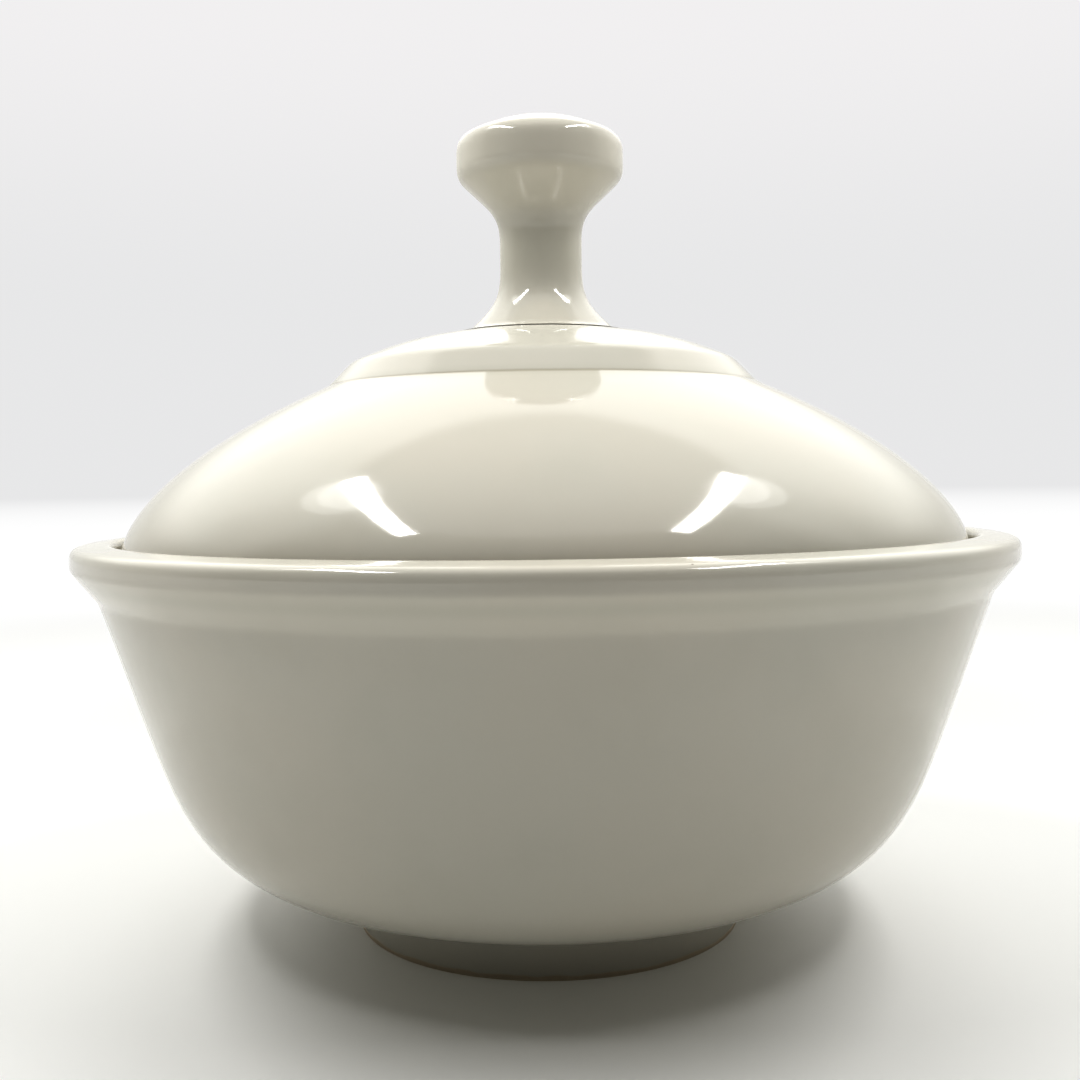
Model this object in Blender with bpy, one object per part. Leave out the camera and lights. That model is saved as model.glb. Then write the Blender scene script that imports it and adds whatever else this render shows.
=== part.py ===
"""Covered casserole dish in glazed stoneware: a footed bowl with a rolled rim, and a stepped, domed lid with a knob.

Every piece is turned about the Z axis. The origin is the centre of the foot ring's bearing face, +Z is up, and all
lengths are in metres. The lid's edge rests on the gallery, the ledge inside the bowl's rim, and lifts straight up.
"""

import math

import bmesh
import bpy
from mathutils import Vector

MM = 0.001

# How finely the round shapes are cut.
TURN_STEPS = 56
ARC_TOLERANCE = 0.25 * MM
MERGE_DISTANCE = 0.001 * MM
SHARP_ANGLE = math.radians(35)

# Clearances. Pieces that touch in the real dish are modelled a joint's gap apart.
JOINT_GAP = 0.3 * MM
LID_SIDE_CLEARANCE = 1.6 * MM
FLANGE_CLEARANCE = 1.4 * MM

# Bowl, outside.
RIM_RADIUS = 117.5 * MM
RIM_HEIGHT = 100.9 * MM
RIM_WIDTH = 9.9 * MM
RIM_FALL = 1.2 * MM
RIM_OUTER_ROUND = 4.6 * MM
RIM_INNER_ROUND = 2.5 * MM
ROLL_DEPTH = 6.0 * MM
ROLL_UNDER_ROUND = 3.0 * MM
COVE_INSET = 6.1 * MM
COVE_TOP_DEPTH = 11.6 * MM
COVE_HEIGHT = 3.3 * MM
COVE_TOP_ROUND = 3.0 * MM
COVE_FOOT_ROUND = 10.0 * MM
BELLY_INSET = 28.4 * MM
BELLY_HEIGHT = 19.7 * MM
BELLY_ROUND = 55.0 * MM

# Bowl, inside.
BOWL_WALL = 6.2 * MM
GALLERY_DEPTH = 8.5 * MM
GALLERY_WIDTH = 4.7 * MM
GALLERY_CORNER_ROUND = 1.2 * MM
GALLERY_EDGE_ROUND = 1.4 * MM
THROAT_ROUND = 20.0 * MM
INSIDE_ROUND = 4.0 * MM
FLOOR_ROUND = 40.0 * MM

# Foot ring.
FOOT_RADIUS = 49.6 * MM
FOOT_WALL = 7.0 * MM
FOOT_HEIGHT = 10.3 * MM
FOOT_EDGE_ROUND = 1.0 * MM
FOOT_TAPER = 1.3 * MM

# Lid. Heights are above the face that rests on the gallery, radii are shares of the lid's own radius.
LID_WALL = 5.2 * MM
LID_EDGE_ROUND = 1.2 * MM
SHOULDER_HEIGHT = 11.8 * MM
SHOULDER_ROUND = 14.0 * MM
DOME_BREAK_SHARE = 0.736
DOME_BREAK_HEIGHT = 37.0 * MM
DOME_ROUND = 120.0 * MM
CREASE_SHARE = 0.5208
CREASE_HEIGHT = 45.6 * MM
CREASE_ROUND = 0.8 * MM
STEP_SHARE = 0.4575
STEP_HEIGHT = 53.7 * MM
STEP_ROUND = 14.0 * MM
CROWN_BREAK_SHARE = 0.34
CROWN_BREAK_HEIGHT = 57.3 * MM
CROWN_ROUND = 120.0 * MM
SEAT_HEIGHT = 59.6 * MM
SEAT_MARGIN = 0.7 * MM
FLANGE_WALL = 4.6 * MM
FLANGE_DEPTH = 6.5 * MM
FLANGE_EDGE_ROUND = 1.8 * MM
FLANGE_ROOT_ROUND = 9.0 * MM

# Knob. Heights are above its own base.
KNOB_HEIGHT = 54.4 * MM
KNOB_RADIUS = 21.5 * MM
KNOB_CROWN_REACH = 8.6 * MM
KNOB_CROWN_ROUND = 42.0 * MM
KNOB_EDGE_FALL = 5.3 * MM
KNOB_EDGE_ROUND = 6.5 * MM
KNOB_UNDERSIDE_HEIGHT = 39.4 * MM
KNOB_UNDERSIDE_ROUND = 6.0 * MM
NECK_RADIUS = 10.6 * MM
NECK_TOP_HEIGHT = 29.1 * MM
NECK_TOP_ROUND = 14.0 * MM
NECK_FLARE_HEIGHT = 8.2 * MM
NECK_FLARE_ROUND = 26.0 * MM
KNOB_BASE_RADIUS = 21.0 * MM
KNOB_BASE_EDGE = 0.8 * MM

GLAZE_COLOUR = (0.78, 0.74, 0.62, 1.0)
FOOT_COLOUR = (0.64, 0.58, 0.46, 1.0)
GLAZE_ROUGHNESS = 0.2
FOOT_ROUGHNESS = 0.6


def crossing(first, second):
    """The point where two lines meet, each line given by two of its points."""
    along = first[1] - first[0]
    across = second[1] - second[0]
    share = (second[0] - first[0]).cross(across) / along.cross(across)
    return first[0] + along * share


def height_at(start, end, radius):
    """Height at which the line through two corners crosses a radius."""
    share = (radius - start[0]) / (end[0] - start[0])
    return start[1] + share * (end[1] - start[1])


def beside(start, end, distance):
    """The line through two corners, moved to the right of its own direction."""
    start = Vector(start[:2])
    end = Vector(end[:2])
    along = (end - start).normalized()
    shift = Vector((along.y, -along.x)) * distance
    return start + shift, end + shift


def wall_inside(corners, distance):
    """The inner corners of a wall, from (radius, height, rounding) corners of its outer side.

    Each side moves to its right by the distance, and each corner's rounding keeps the same centre.
    """
    inner = []
    for before, corner, after in zip(corners, corners[1:], corners[2:]):
        first = beside(before, corner, distance)
        second = beside(corner, after, distance)
        point = crossing(first, second)
        turn = math.copysign(1.0, (first[1] - first[0]).cross(second[1] - second[0]))
        inner.append((point.x, point.y, max(corner[2] + turn * distance, INSIDE_ROUND)))
    return inner


def reaches(corners):
    """How far along its two sides each corner's rounding runs, cut down where two roundings would overlap."""
    wanted = [0.0]
    for before, corner, after in zip(corners, corners[1:], corners[2:]):
        back = Vector(before[:2]) - Vector(corner[:2])
        ahead = Vector(after[:2]) - Vector(corner[:2])
        wanted.append(corner[2] / math.tan(back.angle(ahead) / 2))
    wanted.append(0.0)
    sides = [(Vector(b[:2]) - Vector(a[:2])).length for a, b in zip(corners, corners[1:])]
    room = [side / max(a + b, side) for side, a, b in zip(sides, wanted, wanted[1:])]
    return [0.0] + [w * min(a, b) for w, a, b in zip(wanted[1:], room, room[1:])] + [0.0]


def arc(before, corner, after, reach):
    """Points along the arc that leaves one side of a corner and joins the other, each a reach from the corner."""
    corner = Vector(corner[:2])
    back = (Vector(before[:2]) - corner).normalized()
    ahead = (Vector(after[:2]) - corner).normalized()
    half = back.angle(ahead) / 2
    radius = reach * math.tan(half)
    centre = corner + (back + ahead).normalized() * (reach / math.cos(half))
    spoke = corner + back * reach - centre
    sweep = math.copysign(math.pi - 2 * half, -back.cross(ahead))
    count = max(2, math.ceil(abs(sweep) / (2 * math.acos(1 - ARC_TOLERANCE / max(radius, 2 * ARC_TOLERANCE)))))
    points = []
    for i in range(count + 1):
        angle = sweep * i / count
        x = spoke.x * math.cos(angle) - spoke.y * math.sin(angle)
        y = spoke.x * math.sin(angle) + spoke.y * math.cos(angle)
        points.append(centre + Vector((x, y)))
    return points


def rounded(corners):
    """The outline through (radius, height, rounding) corners. The first and last corners stay sharp."""
    points = [Vector(corners[0][:2])]
    spans = reaches(corners)
    for i in range(1, len(corners) - 1):
        if spans[i] > MERGE_DISTANCE:
            points += arc(corners[i - 1], corners[i], corners[i + 1], spans[i])
        else:
            points.append(Vector(corners[i][:2]))
    points.append(Vector(corners[-1][:2]))
    return points


def turned(name, outline, material):
    """One piece turned about Z from an outline of (radius, height) points. An outline off the axis is closed up."""
    shape = bmesh.new()
    chain = [shape.verts.new((point.x, 0.0, point.y)) for point in outline]
    pairs = list(zip(chain, chain[1:]))
    if outline[0].x > MERGE_DISTANCE:
        pairs.append((chain[-1], chain[0]))
    edges = [shape.edges.new(pair) for pair in pairs]
    bmesh.ops.spin(
        shape,
        geom=chain + edges,
        cent=(0.0, 0.0, 0.0),
        axis=(0.0, 0.0, 1.0),
        angle=math.tau,
        steps=TURN_STEPS,
        use_merge=True,
    )
    bmesh.ops.remove_doubles(shape, verts=shape.verts, dist=MERGE_DISTANCE)
    bmesh.ops.recalc_face_normals(shape, faces=shape.faces)
    mesh = bpy.data.meshes.new(name)
    shape.to_mesh(mesh)
    shape.free()
    mesh.shade_smooth()
    mesh.set_sharp_from_angle(angle=SHARP_ANGLE)
    mesh.materials.append(material)
    piece = bpy.data.objects.new(name, mesh)
    bpy.context.scene.collection.objects.link(piece)
    return piece


def ceramic(name, colour, roughness):
    material = bpy.data.materials.new(name)
    material.use_nodes = True
    shader = material.node_tree.nodes["Principled BSDF"]
    shader.inputs["Base Color"].default_value = colour
    shader.inputs["Roughness"].default_value = roughness
    return material


def bowl_shell():
    """Outer corners of the bowl's wall, from the middle of its underside to the cove under the rim."""
    belly = (RIM_RADIUS - BELLY_INSET, BELLY_HEIGHT, BELLY_ROUND)
    foot_outer = (FOOT_RADIUS, FOOT_HEIGHT)
    foot_inner = FOOT_RADIUS - FOOT_WALL
    underside = height_at(foot_outer, belly, foot_inner)
    cove_foot = RIM_HEIGHT - COVE_TOP_DEPTH - COVE_HEIGHT
    return [
        (0.0, underside, 0.0),
        (foot_inner, underside, 0.0),
        belly,
        (RIM_RADIUS - COVE_INSET, cove_foot, COVE_FOOT_ROUND),
    ]


def gallery():
    """The ledge inside the rim: radius of the wall around it, radius of its inner edge, and its height."""
    outer = RIM_RADIUS - RIM_WIDTH
    return outer, outer - GALLERY_WIDTH, RIM_HEIGHT - GALLERY_DEPTH


def make_bowl(material):
    shell = bowl_shell()
    gallery_outer, gallery_inner, ledge = gallery()
    floor_edge, belly_inside = wall_inside(shell, -BOWL_WALL)
    belly, cove_foot = shell[2:]
    inside_line = beside(belly, cove_foot, -BOWL_WALL)
    outline = shell + [
        (cove_foot[0], RIM_HEIGHT - COVE_TOP_DEPTH, COVE_TOP_ROUND),
        (RIM_RADIUS, RIM_HEIGHT - ROLL_DEPTH, ROLL_UNDER_ROUND),
        (RIM_RADIUS, RIM_HEIGHT - RIM_FALL, RIM_OUTER_ROUND),
        (gallery_outer, RIM_HEIGHT, RIM_INNER_ROUND),
        (gallery_outer, ledge, GALLERY_CORNER_ROUND),
        (gallery_inner, ledge, GALLERY_EDGE_ROUND),
        (gallery_inner, height_at(*inside_line, gallery_inner), THROAT_ROUND),
        belly_inside,
        (floor_edge[0], floor_edge[1], FLOOR_ROUND),
        (0.0, floor_edge[1], 0.0),
    ]
    return turned("bowl", rounded(outline), material)


def make_foot_ring(material):
    shell = bowl_shell()
    inner = shell[1][0]
    top = beside(shell[1], shell[2], JOINT_GAP)
    outline = [
        (inner, height_at(*top, inner), 0.0),
        (inner + FOOT_TAPER, 0.0, FOOT_EDGE_ROUND),
        (FOOT_RADIUS, 0.0, FOOT_EDGE_ROUND),
        (FOOT_RADIUS, height_at(*top, FOOT_RADIUS), 0.0),
    ]
    return turned("foot_ring", rounded(outline), material)


def make_lid(material):
    gallery_outer, gallery_inner, ledge = gallery()
    edge = gallery_outer - LID_SIDE_CLEARANCE
    flange_outer = gallery_inner - FLANGE_CLEARANCE
    flange_inner = flange_outer - FLANGE_WALL
    shell = [
        (0.0, SEAT_HEIGHT, 0.0),
        (KNOB_BASE_RADIUS + SEAT_MARGIN, SEAT_HEIGHT, 0.0),
        (CROWN_BREAK_SHARE * edge, CROWN_BREAK_HEIGHT, CROWN_ROUND),
        (STEP_SHARE * edge, STEP_HEIGHT, STEP_ROUND),
        (CREASE_SHARE * edge, CREASE_HEIGHT, CREASE_ROUND),
        (DOME_BREAK_SHARE * edge, DOME_BREAK_HEIGHT, DOME_ROUND),
        (edge, SHOULDER_HEIGHT, SHOULDER_ROUND),
    ]
    inside = wall_inside(shell, LID_WALL)
    side_inside = beside(shell[-2], shell[-1], LID_WALL)
    outline = shell + [
        (edge, 0.0, LID_EDGE_ROUND),
        (flange_outer, 0.0, 0.0),
        (flange_outer, -FLANGE_DEPTH, FLANGE_EDGE_ROUND),
        (flange_inner, -FLANGE_DEPTH, FLANGE_EDGE_ROUND),
        (flange_inner, height_at(*side_inside, flange_inner), FLANGE_ROOT_ROUND),
        *reversed(inside),
        (0.0, SEAT_HEIGHT - LID_WALL, 0.0),
    ]
    lid = turned("lid", rounded(outline), material)
    lid.location.z = ledge + JOINT_GAP
    return lid


def make_knob(material, lid):
    outline = [
        (0.0, KNOB_HEIGHT, 0.0),
        (KNOB_CROWN_REACH, KNOB_HEIGHT, KNOB_CROWN_ROUND),
        (KNOB_RADIUS, KNOB_HEIGHT - KNOB_EDGE_FALL, KNOB_EDGE_ROUND),
        (KNOB_RADIUS, KNOB_UNDERSIDE_HEIGHT, KNOB_UNDERSIDE_ROUND),
        (NECK_RADIUS, NECK_TOP_HEIGHT, NECK_TOP_ROUND),
        (NECK_RADIUS, NECK_FLARE_HEIGHT, NECK_FLARE_ROUND),
        (KNOB_BASE_RADIUS, KNOB_BASE_EDGE, 0.0),
        (KNOB_BASE_RADIUS, 0.0, 0.0),
        (0.0, 0.0, 0.0),
    ]
    knob = turned("knob", rounded(outline), material)
    knob.parent = lid
    knob.location.z = SEAT_HEIGHT + JOINT_GAP
    return knob


def main():
    for old in list(bpy.data.objects):
        bpy.data.objects.remove(old, do_unlink=True)
    make_bowl(ceramic("bowl glaze", GLAZE_COLOUR, GLAZE_ROUGHNESS))
    make_foot_ring(ceramic("foot ring clay", FOOT_COLOUR, FOOT_ROUGHNESS))
    lid = make_lid(ceramic("lid glaze", GLAZE_COLOUR, GLAZE_ROUGHNESS))
    make_knob(ceramic("knob glaze", GLAZE_COLOUR, GLAZE_ROUGHNESS), lid)


main()
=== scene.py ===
"""Looks of the covered casserole dish: smooth turned pieces for the CAD solids, glaze and clay, and a studio.

Lengths are in metres, in the CAD's frame: its origin is the centre of the foot ring's bearing face, +Z is up.
"""

import math

import bmesh
import bpy
from mathutils import Matrix, Vector


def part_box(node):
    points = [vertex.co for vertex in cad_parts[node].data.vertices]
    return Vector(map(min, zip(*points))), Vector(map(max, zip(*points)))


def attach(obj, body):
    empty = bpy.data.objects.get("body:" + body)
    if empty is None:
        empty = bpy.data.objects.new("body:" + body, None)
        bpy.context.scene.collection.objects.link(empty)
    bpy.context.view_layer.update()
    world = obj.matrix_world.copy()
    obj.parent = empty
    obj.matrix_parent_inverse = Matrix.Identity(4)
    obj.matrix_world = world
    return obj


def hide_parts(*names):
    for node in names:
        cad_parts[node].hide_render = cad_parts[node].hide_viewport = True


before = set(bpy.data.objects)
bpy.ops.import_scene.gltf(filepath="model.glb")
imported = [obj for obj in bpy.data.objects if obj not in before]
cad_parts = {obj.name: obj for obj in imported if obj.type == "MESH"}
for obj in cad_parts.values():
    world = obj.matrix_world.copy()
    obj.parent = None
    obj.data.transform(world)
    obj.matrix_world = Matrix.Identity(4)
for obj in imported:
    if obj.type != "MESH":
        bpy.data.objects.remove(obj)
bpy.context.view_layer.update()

MM = 0.001

# Sizes that the CAD solids give.
BOWL_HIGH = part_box("bowl")[1]
FOOT_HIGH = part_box("foot_ring")[1]
LID_LOW, LID_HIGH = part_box("lid")
KNOB_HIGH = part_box("knob")[1]
RIM_RADIUS = BOWL_HIGH.x
FOOT_RADIUS = FOOT_HIGH.x
LID_RADIUS = LID_HIGH.x
KNOB_RADIUS = KNOB_HIGH.x
FLANGE_FOOT = LID_LOW.z
SEAT = LID_HIGH.z
KNOB_TOP = KNOB_HIGH.z

# How finely the pieces are turned: steps round the axis, degrees per step of a rounded corner,
# the share by which a corner's rounding is spread out, and the longest straight step.
TURN_STEPS = 128
ARC_STEP = 4.0
SOFTER = 1.25
LONGEST_STEP = 3.0 * MM
BEND_PULL = 0.55
DOME_STEPS = 40

# Bowl. A pair is a radius and a height.
RIM_TOP = 100.9 * MM
RIM_WIDTH = 9.9 * MM
RIM_INNER = RIM_RADIUS - RIM_WIDTH
RIM_FALL = 1.2 * MM
ROLL_FOOT = RIM_TOP - 6.0 * MM
ROLL_SHADE = (RIM_RADIUS - 3.0 * MM, 92.5 * MM)
COVE = (RIM_RADIUS - 6.1 * MM, RIM_TOP - 13.7 * MM)
LEDGE_HEIGHT = 92.4 * MM
LEDGE_WIDTH = 4.7 * MM
LEDGE_INNER = RIM_INNER - LEDGE_WIDTH
LEDGE_ROOT = 81.0 * MM
BELLY = (RIM_RADIUS - 28.4 * MM, 19.7 * MM)
INNER_BELLY = (83.8 * MM, 24.5 * MM)
INNER_FLOOR = (43.0 * MM, 14.8 * MM)
UNDERSIDE = 8.6 * MM

# Foot ring.
FOOT_WALL = 7.0 * MM
FOOT_INNER = FOOT_RADIUS - FOOT_WALL
FOOT_DRAFT = 1.3 * MM
FOOT_WALL_TOP = 9.2 * MM
FOOT_SPREAD = (FOOT_RADIUS + 1.2 * MM, 10.5 * MM)
FOOT_OVERLAP = 0.2 * MM

# Lid.
LID_WALL = 5.2 * MM
LID_REST = 92.7 * MM
FLANGE_OUTER = 101.5 * MM
FLANGE_INNER = 96.9 * MM
DOME_FOOT = 97.0 * MM
DOME_RISE = 57.9 * MM
DOME_POWERS = (1.58, 1.17)
CREASE = (55.2 * MM, 138.5 * MM)
STEP = (49.4 * MM, 144.5 * MM)
CREASE_LIP = (CREASE[0] + 2.0 * MM, CREASE[1] - 0.9 * MM)
CROWN_BREAK = (36.0 * MM, 150.0 * MM)
INNER_DOME = ((FLANGE_INNER, 105.2 * MM), (76.2 * MM, 124.9 * MM))
INNER_STEP = ((52.1 * MM, 133.9 * MM), (45.5 * MM, 141.8 * MM))

# Knob.
KNOB_FLAT = 8.6 * MM
KNOB_SHOULDER = KNOB_TOP - 5.3 * MM
HEAD_FOOT = SEAT + 39.7 * MM
NECK_RADIUS = 10.6 * MM
NECK_TOP = SEAT + 29.4 * MM
NECK_MIDDLE = SEAT + 20.0 * MM
NECK_FOOT = SEAT + 8.5 * MM
KNOB_BASE_RADIUS = 21.0 * MM
KNOB_FLARE = (KNOB_BASE_RADIUS - 2.2 * MM, SEAT + 0.7 * MM)
KNOB_LIP = (KNOB_BASE_RADIUS + 1.6 * MM, SEAT - 0.05 * MM)


def lengths(corners):
    return [(Vector(b[:2]) - Vector(a[:2])).length for a, b in zip(corners, corners[1:])]


def turn_at(before, corner, after):
    """The angle by which the outline turns at a corner."""
    return (Vector(corner[:2]) - Vector(before[:2])).angle(Vector(after[:2]) - Vector(corner[:2]))


def blend(before, corner, after, reach):
    """A corner rounded from one side to the other, with its bend growing and dying away smoothly."""
    turn = math.degrees(turn_at(before, corner, after))
    corner = Vector(corner[:2])
    start = corner + (Vector(before[:2]) - corner).normalized() * reach
    end = corner + (Vector(after[:2]) - corner).normalized() * reach
    controls = [start, start.lerp(corner, BEND_PULL), corner, end.lerp(corner, BEND_PULL), end]
    count = max(3, math.ceil(turn / ARC_STEP))
    points = []
    for i in range(count + 1):
        t = i / count
        row = controls
        while len(row) > 1:
            row = [a.lerp(b, t) for a, b in zip(row, row[1:])]
        points.append(row[0])
    return points


def outline(corners):
    """A smooth line through (radius, height, rounding radius) corners. The first and the last stay sharp."""
    sides = lengths(corners)
    reach = [0.0]
    for before, corner, after in zip(corners, corners[1:], corners[2:]):
        reach.append(SOFTER * corner[2] * math.tan(turn_at(before, corner, after) / 2))
    reach.append(0.0)
    room = [min(1.0, side / max(a + b, 1e-9)) for side, a, b in zip(sides, reach, reach[1:])]
    points = [Vector(corners[0][:2])]
    for i in range(1, len(corners) - 1):
        fitted = reach[i] * min(room[i - 1], room[i])
        if fitted > 0:
            points += blend(corners[i - 1], corners[i], corners[i + 1], fitted)
        else:
            points.append(Vector(corners[i][:2]))
    points.append(Vector(corners[-1][:2]))
    return points


def evened(points):
    """The same line with its long straight stretches cut into short steps."""
    even = [points[0]]
    for a, b in zip(points, points[1:]):
        span = (b - a).length
        if span < 1e-7:
            continue
        count = math.ceil(span / LONGEST_STEP)
        even += [a.lerp(b, i / count) for i in range(1, count + 1)]
    return even


def turned(name, line, node, body, material):
    """A piece spun about Z from (radius, height) points. It stands for one CAD node and rides on its body."""
    shape = bmesh.new()
    chain = [shape.verts.new((p.x, 0.0, p.y)) for p in evened(line)]
    pairs = list(zip(chain, chain[1:]))
    if line[0].x > 1e-6:
        pairs.append((chain[-1], chain[0]))
    edges = [shape.edges.new(pair) for pair in pairs]
    bmesh.ops.spin(
        shape,
        geom=chain + edges,
        cent=(0.0, 0.0, 0.0),
        axis=(0.0, 0.0, 1.0),
        angle=math.tau,
        steps=TURN_STEPS,
        use_merge=True,
    )
    bmesh.ops.remove_doubles(shape, verts=shape.verts, dist=0.001 * MM)
    bmesh.ops.recalc_face_normals(shape, faces=shape.faces)
    mesh = bpy.data.meshes.new(name)
    shape.to_mesh(mesh)
    shape.free()
    mesh.shade_smooth()
    mesh.materials.append(material)
    piece = bpy.data.objects.new(name, mesh)
    bpy.context.scene.collection.objects.link(piece)
    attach(piece, body)
    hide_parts(node)
    return piece


class Link:
    """An output socket that works in Python expressions: arithmetic on it adds Math nodes."""

    def __init__(self, nodes, socket):
        self.nodes = nodes
        self.socket = socket

    def math(self, operation, *values):
        return self.nodes.add("ShaderNodeMath", {"operation": operation}, dict(enumerate(values)))

    def sine(self):
        return self.math("SINE", self)

    def size(self):
        return self.math("ABSOLUTE", self)

    def at_least(self, value):
        return self.math("MAXIMUM", self, value)

    def __add__(self, other):
        return self.math("ADD", self, other)

    def __radd__(self, other):
        return self.math("ADD", other, self)

    def __sub__(self, other):
        return self.math("SUBTRACT", self, other)

    def __rsub__(self, other):
        return self.math("SUBTRACT", other, self)

    def __mul__(self, other):
        return self.math("MULTIPLY", self, other)

    def __rmul__(self, other):
        return self.math("MULTIPLY", other, self)

    def __truediv__(self, other):
        return self.math("DIVIDE", self, other)

    def __pow__(self, other):
        return self.math("POWER", self, other)

    def ramp(self, low, high):
        """0 where the value is low, 1 where it is high, with a soft start and end. High may be under low."""
        sockets = {"Value": self, "From Min": low, "From Max": high}
        return self.nodes.add("ShaderNodeMapRange", {"interpolation_type": "SMOOTHSTEP"}, sockets)


class Nodes:
    """Adds nodes to one node tree."""

    def __init__(self, tree):
        self.tree = tree
        tree.nodes.clear()

    def add(self, kind, settings=None, sockets=None, output=0):
        """A new node: first its settings, then its sockets' values or links. Returns one of its outputs."""
        node = self.tree.nodes.new(kind)
        for name, value in (settings or {}).items():
            setattr(node, name, value)
        for name, value in (sockets or {}).items():
            if isinstance(value, Link):
                self.tree.links.new(value.socket, node.inputs[name])
            else:
                node.inputs[name].default_value = value
        return Link(self, node.outputs[output])

    def position(self):
        """The point's place in the piece, and its x, y and z."""
        place = self.add("ShaderNodeTexCoord", output="Object")
        axes = [self.add("ShaderNodeSeparateXYZ", None, {0: place}, axis) for axis in "XYZ"]
        return place, *axes

    def noise(self, place, size, detail=2.0, roughness=0.5):
        """A smooth random value around 0.5, whose blotches are about the given size across."""
        sockets = {"Vector": place, "Scale": 1.0 / size, "Detail": detail, "Roughness": roughness}
        return self.add("ShaderNodeTexNoise", None, sockets)

    def finish(self, kind, shader):
        """The tree's last node, with the finished shader on its surface."""
        last = self.tree.nodes.new(kind)
        self.tree.links.new(shader.socket, last.inputs["Surface"])

    def mix(self, factor, first, second):
        """A colour between the first and the second."""
        return self.add("ShaderNodeMix", {"data_type": "RGBA"}, {0: factor, 6: first, 7: second}, 2)

    def pinholes(self, place, spacing, radius, share):
        """1 at the middle of small round pinholes. A share of the cells, about one spacing apart, has one."""
        cell = {"Vector": place, "Scale": 1 / spacing}
        distance = self.add("ShaderNodeTexVoronoi", {"feature": "F1"}, cell)
        draw = self.add("ShaderNodeTexVoronoi", {"feature": "F1"}, cell, "Color")
        chosen = self.add("ShaderNodeSeparateColor", None, {0: draw}).ramp(1 - share, 1 - share + 0.005)
        return distance.ramp(radius / spacing, radius / spacing - 0.025) * chosen


def new_material(name):
    """A material with an empty node tree."""
    material = bpy.data.materials.new(name)
    material.use_nodes = True
    return material, Nodes(material.node_tree)


# Glaze and clay colours.
CREAM = (0.615, 0.597, 0.53, 1.0)
# Next: a darker cream for thicker glaze, which also paints the shade that falls in hollows and joins.
CREAM_THICK_AND_SHADED = (0.56, 0.545, 0.475, 1.0)
CREAM_WARM = (0.625, 0.597, 0.525, 1.0)
SPECK = (0.16, 0.12, 0.08, 1.0)
# Painted shade: a brown for thin dark lines in the lid's crease and round the knob's foot.
PAINTED_CREASE_SHADE = (0.30, 0.25, 0.17, 1.0)
DRY_CLAY = (0.58, 0.50, 0.38, 1.0)
DRY_CLAY_DARK = (0.48, 0.40, 0.29, 1.0)

# Sizes of the glaze's pattern, and how deep its unevenness is.
CLOUD = 60.0 * MM
DRIFT = 22.0 * MM
SMEAR = 35.0 * MM
CLAY_GRAIN = 0.9 * MM
EDGE_WOBBLE = 1.2 * MM
PINHOLE_SPACING = 6.5 * MM
PINHOLE_RADIUS = 0.055 * PINHOLE_SPACING
PINHOLE_SHARE = 0.045
SWELL, SWELL_DEPTH = 30.0 * MM, 0.13 * MM
RIPPLE, RIPPLE_DEPTH = 8.0 * MM, 0.012 * MM
PEEL, PEEL_DEPTH = 2.4 * MM, 0.0022 * MM
RING_SPACING, RING_DEPTH = 5.5 * MM, 0.0015 * MM
PINHOLE_DEPTH = 0.03 * MM
GRAIN_DEPTH = 0.05 * MM
GLAZE_ROUGHNESS = 0.07
SMEAR_ROUGHNESS = 0.05
CLAY_ROUGHNESS = 0.65
GLAZE_IOR = 1.55


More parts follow.
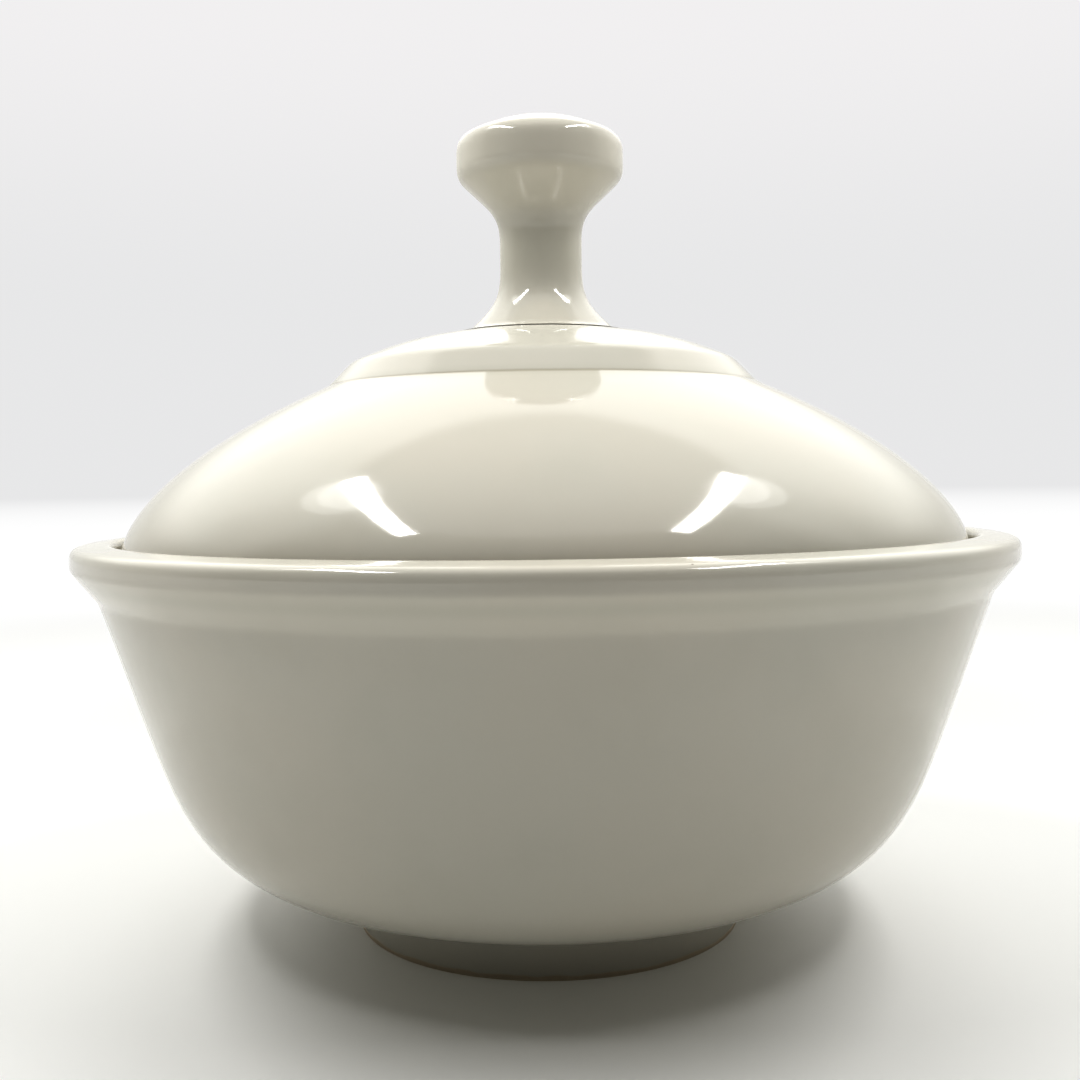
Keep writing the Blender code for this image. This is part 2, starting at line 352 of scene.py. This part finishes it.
def glazed(name, dry, pooled_and_shaded, shade_line):
    """Cream glaze over buff clay. Three mask makers follow the name, and they work from radius and height.

    The first marks the bare clay. The second marks thicker glaze in the hollows and joins, and it also paints
    the shade that falls there. The third paints a fine line of shade in the lid's crease and round the knob's
    foot.
    """
    material, nodes = new_material(name)
    place, x, y, z = nodes.position()
    radius = (x * x + y * y) ** 0.5
    cloud = nodes.noise(place, CLOUD, 3.0)
    drift = nodes.noise(place, DRIFT)
    wobble = (nodes.noise(place, 7 * MM) - 0.5) * EDGE_WOBBLE
    # Thicker glaze in the hollows and joins. It also stands for painted shade there.
    thick_and_shade = pooled_and_shaded(radius, z)
    bare = dry(radius, z, wobble)
    speck = nodes.pinholes(place, PINHOLE_SPACING, PINHOLE_RADIUS, PINHOLE_SHARE)

    colour = nodes.mix(cloud.ramp(0.35, 0.7), CREAM, CREAM_WARM)
    colour = nodes.mix(drift.ramp(0.45, 0.8) * 0.25, colour, CREAM_THICK_AND_SHADED)
    # Thick glaze and painted shade: darker cream in the hollows and joins.
    colour = nodes.mix(thick_and_shade * 0.7, colour, CREAM_THICK_AND_SHADED)
    # Painted shade: a fine dark line in the lid's crease and round the knob's foot.
    colour = nodes.mix(shade_line(radius, z) * 0.45, colour, PAINTED_CREASE_SHADE)
    colour = nodes.mix(speck * 0.75, colour, SPECK)
    grain = nodes.noise(place, CLAY_GRAIN, 3.0, 0.7)
    clay = nodes.mix(grain.ramp(0.3, 0.8) * 0.5, DRY_CLAY, DRY_CLAY_DARK)
    colour = nodes.mix(bare, colour, clay)

    smear = nodes.noise(place, SMEAR, 4.0, 0.6)
    roughness = GLAZE_ROUGHNESS + smear.ramp(0.4, 0.8) * SMEAR_ROUGHNESS + speck * 0.3
    roughness = roughness + bare * CLAY_ROUGHNESS

    swell = nodes.noise(place, SWELL, 1.0) * SWELL_DEPTH
    ripple = nodes.noise(place, RIPPLE) * RIPPLE_DEPTH
    peel = nodes.noise(place, PEEL, 1.0) * PEEL_DEPTH
    rings = (z * (math.tau / RING_SPACING) + nodes.noise(place, 50 * MM) * 6.0).sine()
    height = swell + ripple + peel + rings * RING_DEPTH
    height = height - speck * PINHOLE_DEPTH + bare * grain * GRAIN_DEPTH
    normal = nodes.add("ShaderNodeBump", None, {"Strength": 1.0, "Distance": 1.0, "Height": height})

    sockets = {"Base Color": colour, "Roughness": roughness, "Normal": normal, "IOR": GLAZE_IOR}
    shader = nodes.add("ShaderNodeBsdfPrincipled", None, sockets)
    nodes.finish("ShaderNodeOutputMaterial", shader)
    return material


def nowhere(radius, z, wobble=None):
    return radius * 0.0


def ledge_dry(radius, z, wobble):
    """The ledge's upper face, where the lid rests."""
    edge = radius + wobble * 0.5
    level = (z - LEDGE_HEIGHT).size().ramp(0.5 * MM, 0.2 * MM)
    inside = edge.ramp(RIM_INNER + 0.4 * MM, RIM_INNER + 0.1 * MM)
    return level * inside * edge.ramp(LEDGE_INNER + 0.6 * MM, LEDGE_INNER + 1.0 * MM)


def lid_rest_dry(radius, z, wobble):
    """The lid's lower edge, outside its flange."""
    edge = wobble * 0.3
    below = (z + edge).ramp(LID_REST + 0.9 * MM, LID_REST + 0.5 * MM)
    return below * (radius + edge).ramp(FLANGE_OUTER - 1.0 * MM, FLANGE_OUTER - 0.6 * MM)


def foot_dry(radius, z, wobble):
    """The foot ring's bearing face, wiped a little way up its sides."""
    return (z + wobble).ramp(1.7 * MM, 1.1 * MM)


def ring_mask(radius, z, at, size):
    """1 on the ring at that (radius, height), fading to 0 a size away."""
    across = radius - at[0]
    up = z - at[1]
    return ((across * across + up * up) ** 0.5).ramp(size, 0.0)


# These darken the glaze in hollows and joins. They stand for thicker glaze, and also for painted shade under
# the rolled rim, at the foot ring's top, in the lid's crease, in the knob's neck and round the knob's foot.
def bowl_pooled_and_shaded(radius, z):
    return ring_mask(radius, z, ROLL_SHADE, 3 * MM) + ring_mask(radius, z, (FOOT_RADIUS, 10.4 * MM), 3 * MM)


def foot_pooled_and_shaded(radius, z):
    return ring_mask(radius, z, (FOOT_RADIUS, 10.2 * MM), 3 * MM)


def lid_pooled_and_shaded(radius, z):
    return ring_mask(radius, z, CREASE, 3 * MM) + ring_mask(radius, z, (KNOB_BASE_RADIUS, SEAT), 2.5 * MM)


def knob_pooled_and_shaded(radius, z):
    # Painted shade in the neck under the knob's head, with thicker glaze.
    neck_shade = ring_mask(radius, z, (NECK_RADIUS, NECK_MIDDLE), 13 * MM)
    return neck_shade + ring_mask(radius, z, (KNOB_BASE_RADIUS, SEAT), 2.5 * MM)


# Painted shade: a thin dark ring in the lid's crease, and one round the knob's foot.
def lid_crease_shade(radius, z):
    return ring_mask(radius, z, CREASE, 0.9 * MM)


def knob_foot_shade(radius, z):
    return ring_mask(radius, z, (KNOB_BASE_RADIUS + 0.8 * MM, SEAT), 0.6 * MM)


def make_bowl(material):
    """The bowl's outline: up its outer wall to the rolled rim, and down the ledge and the inner wall."""
    line = outline(
        [
            (0.0, UNDERSIDE, 0.0),
            (FOOT_INNER, UNDERSIDE, 4.0 * MM),
            (*BELLY, 55.0 * MM),
            (*COVE, 7.0 * MM),
            (RIM_RADIUS, ROLL_FOOT, 4.4 * MM),
            (RIM_RADIUS, RIM_TOP - RIM_FALL, 4.6 * MM),
            (RIM_INNER, RIM_TOP, 2.5 * MM),
            (RIM_INNER, LEDGE_HEIGHT, 1.2 * MM),
            (LEDGE_INNER, LEDGE_HEIGHT, 1.4 * MM),
            (LEDGE_INNER, LEDGE_ROOT, 20.0 * MM),
            (*INNER_BELLY, 50.0 * MM),
            (*INNER_FLOOR, 40.0 * MM),
            (0.0, INNER_FLOOR[1], 0.0),
        ]
    )
    return turned("bowl_glazed", line, "bowl", "bowl", material)


def make_foot_ring(material):
    """A plain ring, a little narrower at its bearing face, that spreads into the bowl above it."""
    line = outline(
        [
            (FOOT_INNER, UNDERSIDE + FOOT_OVERLAP, 0.0),
            (FOOT_INNER + FOOT_DRAFT, 0.0, 1.0 * MM),
            (FOOT_RADIUS, 0.0, 1.0 * MM),
            (FOOT_RADIUS, FOOT_WALL_TOP, 1.5 * MM),
            (*FOOT_SPREAD, 0.0),
        ]
    )
    return turned("foot_ring_turned", line, "foot_ring", "bowl", material)


def dome(first_radius):
    """The lid's lower dome, from the crease out to where it stands upright, as one smooth oval curve."""
    start = math.asin((first_radius / LID_RADIUS) ** (1 / DOME_POWERS[0]))
    points = []
    for i in range(DOME_STEPS + 1):
        angle = start + (math.pi / 2 - start) * i / DOME_STEPS
        radius = LID_RADIUS * math.sin(angle) ** DOME_POWERS[0]
        height = DOME_FOOT + DOME_RISE * max(math.cos(angle), 0.0) ** DOME_POWERS[1]
        points.append(Vector((radius, height)))
    return points


def make_lid(material):
    """The raised crown, the step to the crease, the dome, the resting edge, the flange and the inside."""
    crown = outline(
        [
            (0.0, SEAT, 0.0),
            (KNOB_BASE_RADIUS + 0.4 * MM, SEAT, 4.0 * MM),
            (*CROWN_BREAK, 120.0 * MM),
            (*STEP, 12.0 * MM),
            (*CREASE, 0.9 * MM),
            (*CREASE_LIP, 0.0),
        ]
    )
    under = outline(
        [
            (LID_RADIUS, DOME_FOOT - 1.0 * MM, 0.0),
            (LID_RADIUS, LID_REST, 1.2 * MM),
            (FLANGE_OUTER, LID_REST, 0.6 * MM),
            (FLANGE_OUTER, FLANGE_FOOT, 1.8 * MM),
            (FLANGE_INNER, FLANGE_FOOT, 1.8 * MM),
            (*INNER_DOME[0], 9.0 * MM),
            (*INNER_DOME[1], 100.0 * MM),
            (*INNER_STEP[0], 6.0 * MM),
            (*INNER_STEP[1], 9.0 * MM),
            (KNOB_BASE_RADIUS, SEAT - LID_WALL, 60.0 * MM),
            (0.0, SEAT - LID_WALL, 0.0),
        ]
    )
    line = crown[:-1] + dome(CREASE_LIP[0]) + under
    return turned("lid_glazed", line, "lid", "lid", material)


def make_knob(material):
    """A mushroom head on a waisted neck that flares on to the crown."""
    line = outline(
        [
            (0.0, KNOB_TOP, 0.0),
            (KNOB_FLAT, KNOB_TOP, 42.0 * MM),
            (KNOB_RADIUS, KNOB_SHOULDER, 6.5 * MM),
            (KNOB_RADIUS, HEAD_FOOT, 6.0 * MM),
            (NECK_RADIUS, NECK_TOP, 14.0 * MM),
            (NECK_RADIUS, NECK_FOOT, 26.0 * MM),
            (*KNOB_FLARE, 8.0 * MM),
            (*KNOB_LIP, 0.0),
            (0.0, SEAT, 0.0),
        ]
    )
    return turned("knob_turned", line, "knob", "lid", material)


# Studio: the background, the floor, and how bright the tent's walls and roof are.
PALE_GREY = (0.855, 0.855, 0.86, 1.0)
HIGH_GREY = (0.915, 0.905, 0.91, 1.0)
BLACK = (0.0, 0.0, 0.0, 1.0)
PAPER = (0.65, 0.65, 0.64, 1.0)
# The floor's glow: near the dish, painted light that lifts its shadow, dimmest in front and brighter to the
# sides; far off, white, to run into the background.
FRONT_GLOW = (0.07, 0.069, 0.06, 1.0)
NEAR_GLOW = (0.2, 0.2, 0.195, 1.0)
SIDE_GLOW = (0.4, 0.4, 0.4, 1.0)
WHITE_GLOW = (1.02, 1.02, 1.02, 1.0)
FLOOR_RADIUS = 12.0
TENT_SIDE_LOW = 0.6
TENT_SIDE = 1.0
TENT_BACK_LOW = 0.9
TENT_BACK = 1.75
TENT_ROOF = 0.75

# Lights on the left and the right, with their strip's and panel's power. The core has a share of a panel's.
SIDES = (("left", -1, 1.7, 0.11), ("right", 1, 1.55, 0.10))
CORE_SHARE = 0.6

# Camera.
LENS = 43.33
SENSOR = 36.0
EYE = (0.0, -0.3406, 0.116)
PITCH = 90 - 2.94
PAN = 0.20
ROLL = -0.75
CONTRAST = 1.4


def make_floor():
    """A broad pale floor. To the sides and behind the dish it glows, so that it runs into the background.
    Close round the dish it glows faintly, least in front: painted light that lightens the shadow under the
    dish.
    """
    material, nodes = new_material("studio floor")
    place, x, y, z = nodes.position()
    behind = (y - 0.1).at_least(0.0)
    beside = (x * x + behind**2.0) ** 0.5
    away = beside.ramp(0.6, 0.9)
    far = ((x * x + y * y) ** 0.5).ramp(1.5, 9.0)
    paper = nodes.mix(away, PAPER, BLACK)
    # Painted light: a faint glow near the dish that lightens its shadow, dimmer in front than to the sides.
    glow = nodes.mix(x.size().ramp(0.03, 0.12), FRONT_GLOW, NEAR_GLOW)
    glow = nodes.mix(beside.ramp(0.20, 0.50), glow, SIDE_GLOW)
    glow = nodes.mix(away, glow, WHITE_GLOW)
    glow = nodes.mix(far, glow, PALE_GREY)
    plain = {"Roughness": 0.6, "Specular IOR Level": 0.0, "Emission Strength": 1.0}
    sockets = {"Base Color": paper, "Emission Color": glow, **plain}
    shader = nodes.add("ShaderNodeBsdfPrincipled", None, sockets)
    nodes.finish("ShaderNodeOutputMaterial", shader)
    shape = bmesh.new()
    bmesh.ops.create_circle(shape, cap_ends=True, segments=96, radius=FLOOR_RADIUS)
    mesh = bpy.data.meshes.new("studio_floor")
    shape.to_mesh(mesh)
    shape.free()
    mesh.materials.append(material)
    floor = bpy.data.objects.new("studio_floor", mesh)
    bpy.context.scene.collection.objects.link(floor)


def make_world():
    """A pale background, and for the glaze a white tent with lit walls and roof and an open, dark front."""
    world = bpy.data.worlds.new("studio")
    world.use_nodes = True
    bpy.context.scene.world = world
    nodes = Nodes(world.node_tree)
    direction = nodes.add("ShaderNodeTexCoord", output="Generated")
    along = nodes.add("ShaderNodeSeparateXYZ", None, {0: direction}, "Y")
    up = nodes.add("ShaderNodeSeparateXYZ", None, {0: direction}, "Z")
    backdrop = nodes.mix(up.ramp(0.12, 0.34), PALE_GREY, HIGH_GREY)

    level = (1.0 - up * up).at_least(0.0001) ** 0.5
    toward = along / level
    back = toward.ramp(0.1, 0.6)
    side = 1.0 - back - toward.ramp(0.1, -0.3)
    roof = up.ramp(0.81, 0.86)
    low = up.ramp(0.45, 0.2)
    high = (1.0 - low) * (1.0 - roof)
    side_wall = side * low * TENT_SIDE_LOW + side * high * TENT_SIDE
    back_wall = back * low * TENT_BACK_LOW + back * high * TENT_BACK
    tent = side_wall + back_wall + roof * TENT_ROOF
    room = nodes.add("ShaderNodeCombineColor", None, {0: tent, 1: tent, 2: tent * 0.98})
    seen = nodes.add("ShaderNodeLightPath", output="Is Camera Ray")
    colour = nodes.mix(seen, room, backdrop)
    shader = nodes.add("ShaderNodeBackground", None, {"Color": colour, "Strength": 1.0})
    nodes.finish("ShaderNodeOutputWorld", shader)


def add_light(name, place, target, width, length, power, shape="RECTANGLE"):
    """A soft flat light that faces a target, with its length from front to back."""
    light = bpy.data.lights.new(name, "AREA")
    light.energy = power
    light.shape = shape
    light.size = width
    light.size_y = length
    lamp = bpy.data.objects.new(name, light)
    bpy.context.scene.collection.objects.link(lamp)
    back = (Vector(place) - Vector(target)).normalized()
    side = Vector((0.0, 1.0, 0.0)).cross(back).normalized()
    turn = Matrix((side, back.cross(side), back)).transposed()
    lamp.matrix_world = Matrix.Translation(place) @ turn.to_4x4()


def make_lights():
    """Two strips along the tent's roof, each in front of a wider, dimmer panel that softens its edges."""
    for name, side, strip, panel in SIDES:
        core = CORE_SHARE * panel
        target = (side * 0.10, -0.02, 0.12)
        strip_place = (side * 0.275, -0.11, 0.56)
        panel_place = (side * 0.32, 0.0, 0.57)
        core_place = (side * 0.305, 0.0, 0.565)
        add_light(f"roof_strip_{name}", strip_place, target, 0.04, 0.38, strip)
        add_light(f"roof_panel_{name}", panel_place, target, 0.15, 0.18, panel, "ELLIPSE")
        add_light(f"roof_core_{name}", core_place, target, 0.10, 0.14, core, "ELLIPSE")


def make_camera():
    """A camera in front of the dish, a little above the rim, that looks slightly down."""
    camera = bpy.data.cameras.new("camera")
    camera.lens = LENS
    camera.sensor_width = SENSOR
    camera.clip_start = 0.01
    camera.clip_end = 100.0
    eye = bpy.data.objects.new("camera", camera)
    bpy.context.scene.collection.objects.link(eye)
    pitch = Matrix.Rotation(math.radians(PITCH), 4, "X")
    pan = Matrix.Rotation(math.radians(PAN), 4, "Z")
    roll = Matrix.Rotation(math.radians(ROLL), 4, "Z")
    eye.matrix_world = Matrix.Translation(EYE) @ pan @ pitch @ roll
    bpy.context.scene.camera = eye


make_bowl(glazed("bowl glaze", ledge_dry, bowl_pooled_and_shaded, nowhere))
make_foot_ring(glazed("foot ring glaze", foot_dry, foot_pooled_and_shaded, nowhere))
make_lid(glazed("lid glaze", lid_rest_dry, lid_pooled_and_shaded, lid_crease_shade))
make_knob(glazed("knob glaze", nowhere, knob_pooled_and_shaded, knob_foot_shade))
make_floor()
make_world()
make_lights()
make_camera()
bpy.context.scene.view_settings.view_transform = "Standard"
bpy.context.scene.view_settings.gamma = 1 / CONTRAST
